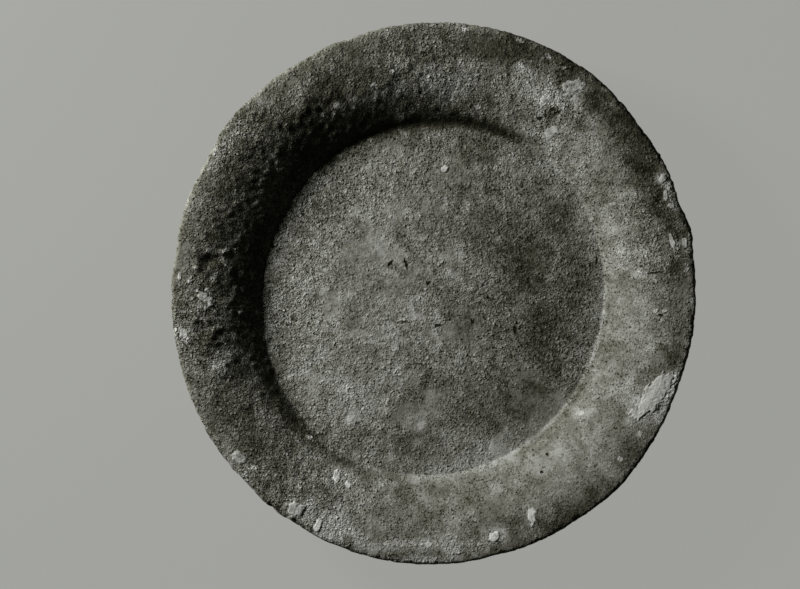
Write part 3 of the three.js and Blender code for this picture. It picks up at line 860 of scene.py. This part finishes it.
def weatheredStone():
    # Fine-grained grey stone, ground to shape and then corroded in the soil: no gloss, a gritty
    # skin, and cloudy tones from dark olive grey to chalky grey.
    material, tree, shader = newMaterial("weatheredGreyStone")
    place = addNode(tree, "TexCoord", {}).outputs["Object"]
    placed = addNode(tree, "Attribute", {"attribute_name": "tone"}).outputs["Fac"]
    roughPlace = addNode(tree, "Attribute", {"attribute_name": "roughness"}).outputs["Fac"]
    tone = addNoises(tree, place, stone["clouds"], placed)
    grains = addCrumbs(tree, place, stone["crumbs"], addNoises(tree, place, stone["grains"], None))
    specks = addNoises(tree, place, stone["specks"], None)
    # grains and crumbs make the tone paler with their height: painted shade in the hollows and painted
    # light on the tops, besides dirt in the hollows
    paler = {"operation": "MULTIPLY_ADD", 1: stone["grainTone"]}
    specks = addNode(tree, "Math", paler, {0: grains, 2: specks}).outputs[0]
    byRoughness = {"operation": "MULTIPLY_ADD"}
    links = {0: specks, 1: roughPlace, 2: tone}
    tone = addNode(tree, "Math", byRoughness, links).outputs[0]
    tone, height = addMarks(tree, place, tone)
    colour = addNode(tree, "ValToRGB", {"stops": toneStops()}, {"Fac": tone})
    tree.links.new(colour.outputs["Color"], shader.inputs["Base Color"])
    links = {0: grains, 1: roughPlace, 2: height}
    height = addNode(tree, "Math", byRoughness, links).outputs[0]
    bump = addNode(tree, "Bump", {"Distance": mm}, {"Height": height})
    tree.links.new(bump.outputs["Normal"], shader.inputs["Normal"])
    shader.inputs["Roughness"].default_value = stone["roughness"]
    shader.inputs["Specular IOR Level"].default_value = stone["specular"]
    return material


lime = {
    # noises, with the same numbers as the stone's
    "mottle": [(1.3, 4, (0.3, 0.7), (-0.12, 0.12))],
    "grains": [(0.6, 2, (0.4, 0.6), (0, 0.05))],
    "roughness": 0.95, "specular": 0.1,
}


def chalkyLime():
    # Lime that ground water left on the stone: chalky, matt, crumbly, greyer where it is thin.
    material, tree, shader = newMaterial("chalkyLimeCrust")
    place = addNode(tree, "TexCoord", {}).outputs["Object"]
    placed = addNode(tree, "Attribute", {"attribute_name": "tone"}).outputs["Fac"]
    tone = addNoises(tree, place, lime["mottle"], placed)
    colour = addNode(tree, "ValToRGB", {"stops": toneStops()}, {"Fac": tone})
    tree.links.new(colour.outputs["Color"], shader.inputs["Base Color"])
    grains = addNoises(tree, place, lime["grains"], None)
    bump = addNode(tree, "Bump", {"Distance": mm}, {"Height": grains})
    tree.links.new(bump.outputs["Normal"], shader.inputs["Normal"])
    shader.inputs["Roughness"].default_value = lime["roughness"]
    shader.inputs["Specular IOR Level"].default_value = lime["specular"]
    return material


stoneMaterial = weatheredStone()
limeMaterial = chalkyLime()
body.data.materials.append(stoneMaterial)
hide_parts("dish_body")
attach(body, "root")
for piece in crusts:
    piece.data.materials.append(limeMaterial)
    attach(piece, "root")
print("Materials: stone and lime")


# Floor, lamp, world and camera

studio = {
    "backdrop": "#a1a29d",
    "backdropShare": 0.95,  # how much of the floor's colour the camera sees unlit
    "floorHalf": 900,  # half the side of the square floor
    "floorGap": 0.05,  # the foot stands this far above the floor, so that the two never flicker
    "lampTurn": 148.8, "lampHeight": 20.8,  # direction and degrees above the floor
    "lampDistance": 440, "lampWidth": 120, "lampPower": 5.6,  # the power is in watts
    "fill": 0.012, "fillColour": "#fffed8",  # light from all round, that only the shade shows
    "pixelsPerMm": 3.44, "imageWidth": 800, "imageHeight": 589,
    "objectPixel": (433.9, 293.2),  # where the middle of the dish lies in the image
    "cameraDistance": 1000, "sensorWidth": 36,  # the distance counts from the rim
}


def backdropShader(tree, plain, kind, most):
    # the camera and its reflections see this much of the backdrop's own colour, and everything
    # else the plain shader
    light = addNode(tree, "LightPath", {})
    seen = addNode(tree, "Math", {"operation": "MAXIMUM"},
                   {0: light.outputs["Is Camera Ray"], 1: light.outputs["Is Glossy Ray"]})
    seen = addNode(tree, "Math", {"operation": "MAXIMUM"},
                   {0: seen.outputs[0], 1: light.outputs["Is Transmission Ray"]})
    share = addNode(tree, "Math", {"operation": "MULTIPLY", 1: most}, {0: seen.outputs[0]})
    glow = addNode(tree, kind, {"Color": hexColour(studio["backdrop"]), "Strength": 1})
    mix = addNode(tree, "MixShader", {}, {0: share.outputs[0], 1: plain, 2: glow.outputs[0]})
    return mix.outputs[0]


def makeFloor():
    half = studio["floorHalf"]
    z = -studio["floorGap"]
    points = np.array([(-half, -half, z), (half, -half, z), (half, half, z), (-half, half, z)])
    floor = makeMesh("paleFloor", points, [np.array([[0, 1, 2, 3]])], {})
    material, tree, shader = newMaterial("palePaper")
    shader.inputs["Base Color"].default_value = hexColour(studio["backdrop"])
    shader.inputs["Roughness"].default_value = 1
    surface = backdropShader(tree, shader.outputs[0], "Emission", studio["backdropShare"])
    tree.links.new(surface, tree.nodes["Material Output"].inputs["Surface"])
    floor.data.materials.append(material)


def makeWorld():
    world = bpy.data.worlds.new("softFill")
    world.use_nodes = True
    tree = world.node_tree
    tree.nodes["Background"].inputs["Strength"].default_value = studio["fill"]
    tree.nodes["Background"].inputs["Color"].default_value = hexColour(studio["fillColour"])
    plain = tree.nodes["Background"].outputs[0]
    surface = backdropShader(tree, plain, "Background", 1)
    tree.links.new(surface, tree.nodes["World Output"].inputs["Surface"])
    bpy.context.scene.world = world


def makeLamp():
    turn, height = math.radians(studio["lampTurn"]), math.radians(studio["lampHeight"])
    level = math.cos(height)
    towards = Vector((math.cos(turn) * level, math.sin(turn) * level, math.sin(height)))
    data = bpy.data.lights.new("lowLamp", "AREA")
    data.shape = "DISK"
    data.size = studio["lampWidth"] * mm
    data.energy = studio["lampPower"]
    lamp = bpy.data.objects.new("lowLamp", data)
    lamp.location = towards * studio["lampDistance"] * mm + Vector((0, 0, dish["floorThickness"] * mm))
    lamp.rotation_euler = towards.to_track_quat("Z", "Y").to_euler()
    lamp.visible_camera = False
    bpy.context.scene.collection.objects.link(lamp)


def makeCamera():
    # straight down, with the frame's width worked out from the scale at the height of the rim
    width = studio["imageWidth"] / studio["pixelsPerMm"]
    right = (studio["objectPixel"][0] - studio["imageWidth"] / 2) / studio["pixelsPerMm"]
    up = (studio["imageHeight"] / 2 - studio["objectPixel"][1]) / studio["pixelsPerMm"]
    data = bpy.data.cameras.new("camera")
    data.sensor_width = studio["sensorWidth"]
    data.lens = studio["sensorWidth"] * studio["cameraDistance"] / width
    camera = bpy.data.objects.new("camera", data)
    rim = dish["floorThickness"] + dish["wellDepth"]
    camera.location = Vector((-right, -up, rim + studio["cameraDistance"])) * mm
    bpy.context.scene.collection.objects.link(camera)
    bpy.context.scene.camera = camera


makeFloor()
makeWorld()
makeLamp()
makeCamera()
bpy.context.scene.view_settings.view_transform = "Standard"
print("Studio: floor, fill, lamp and camera")
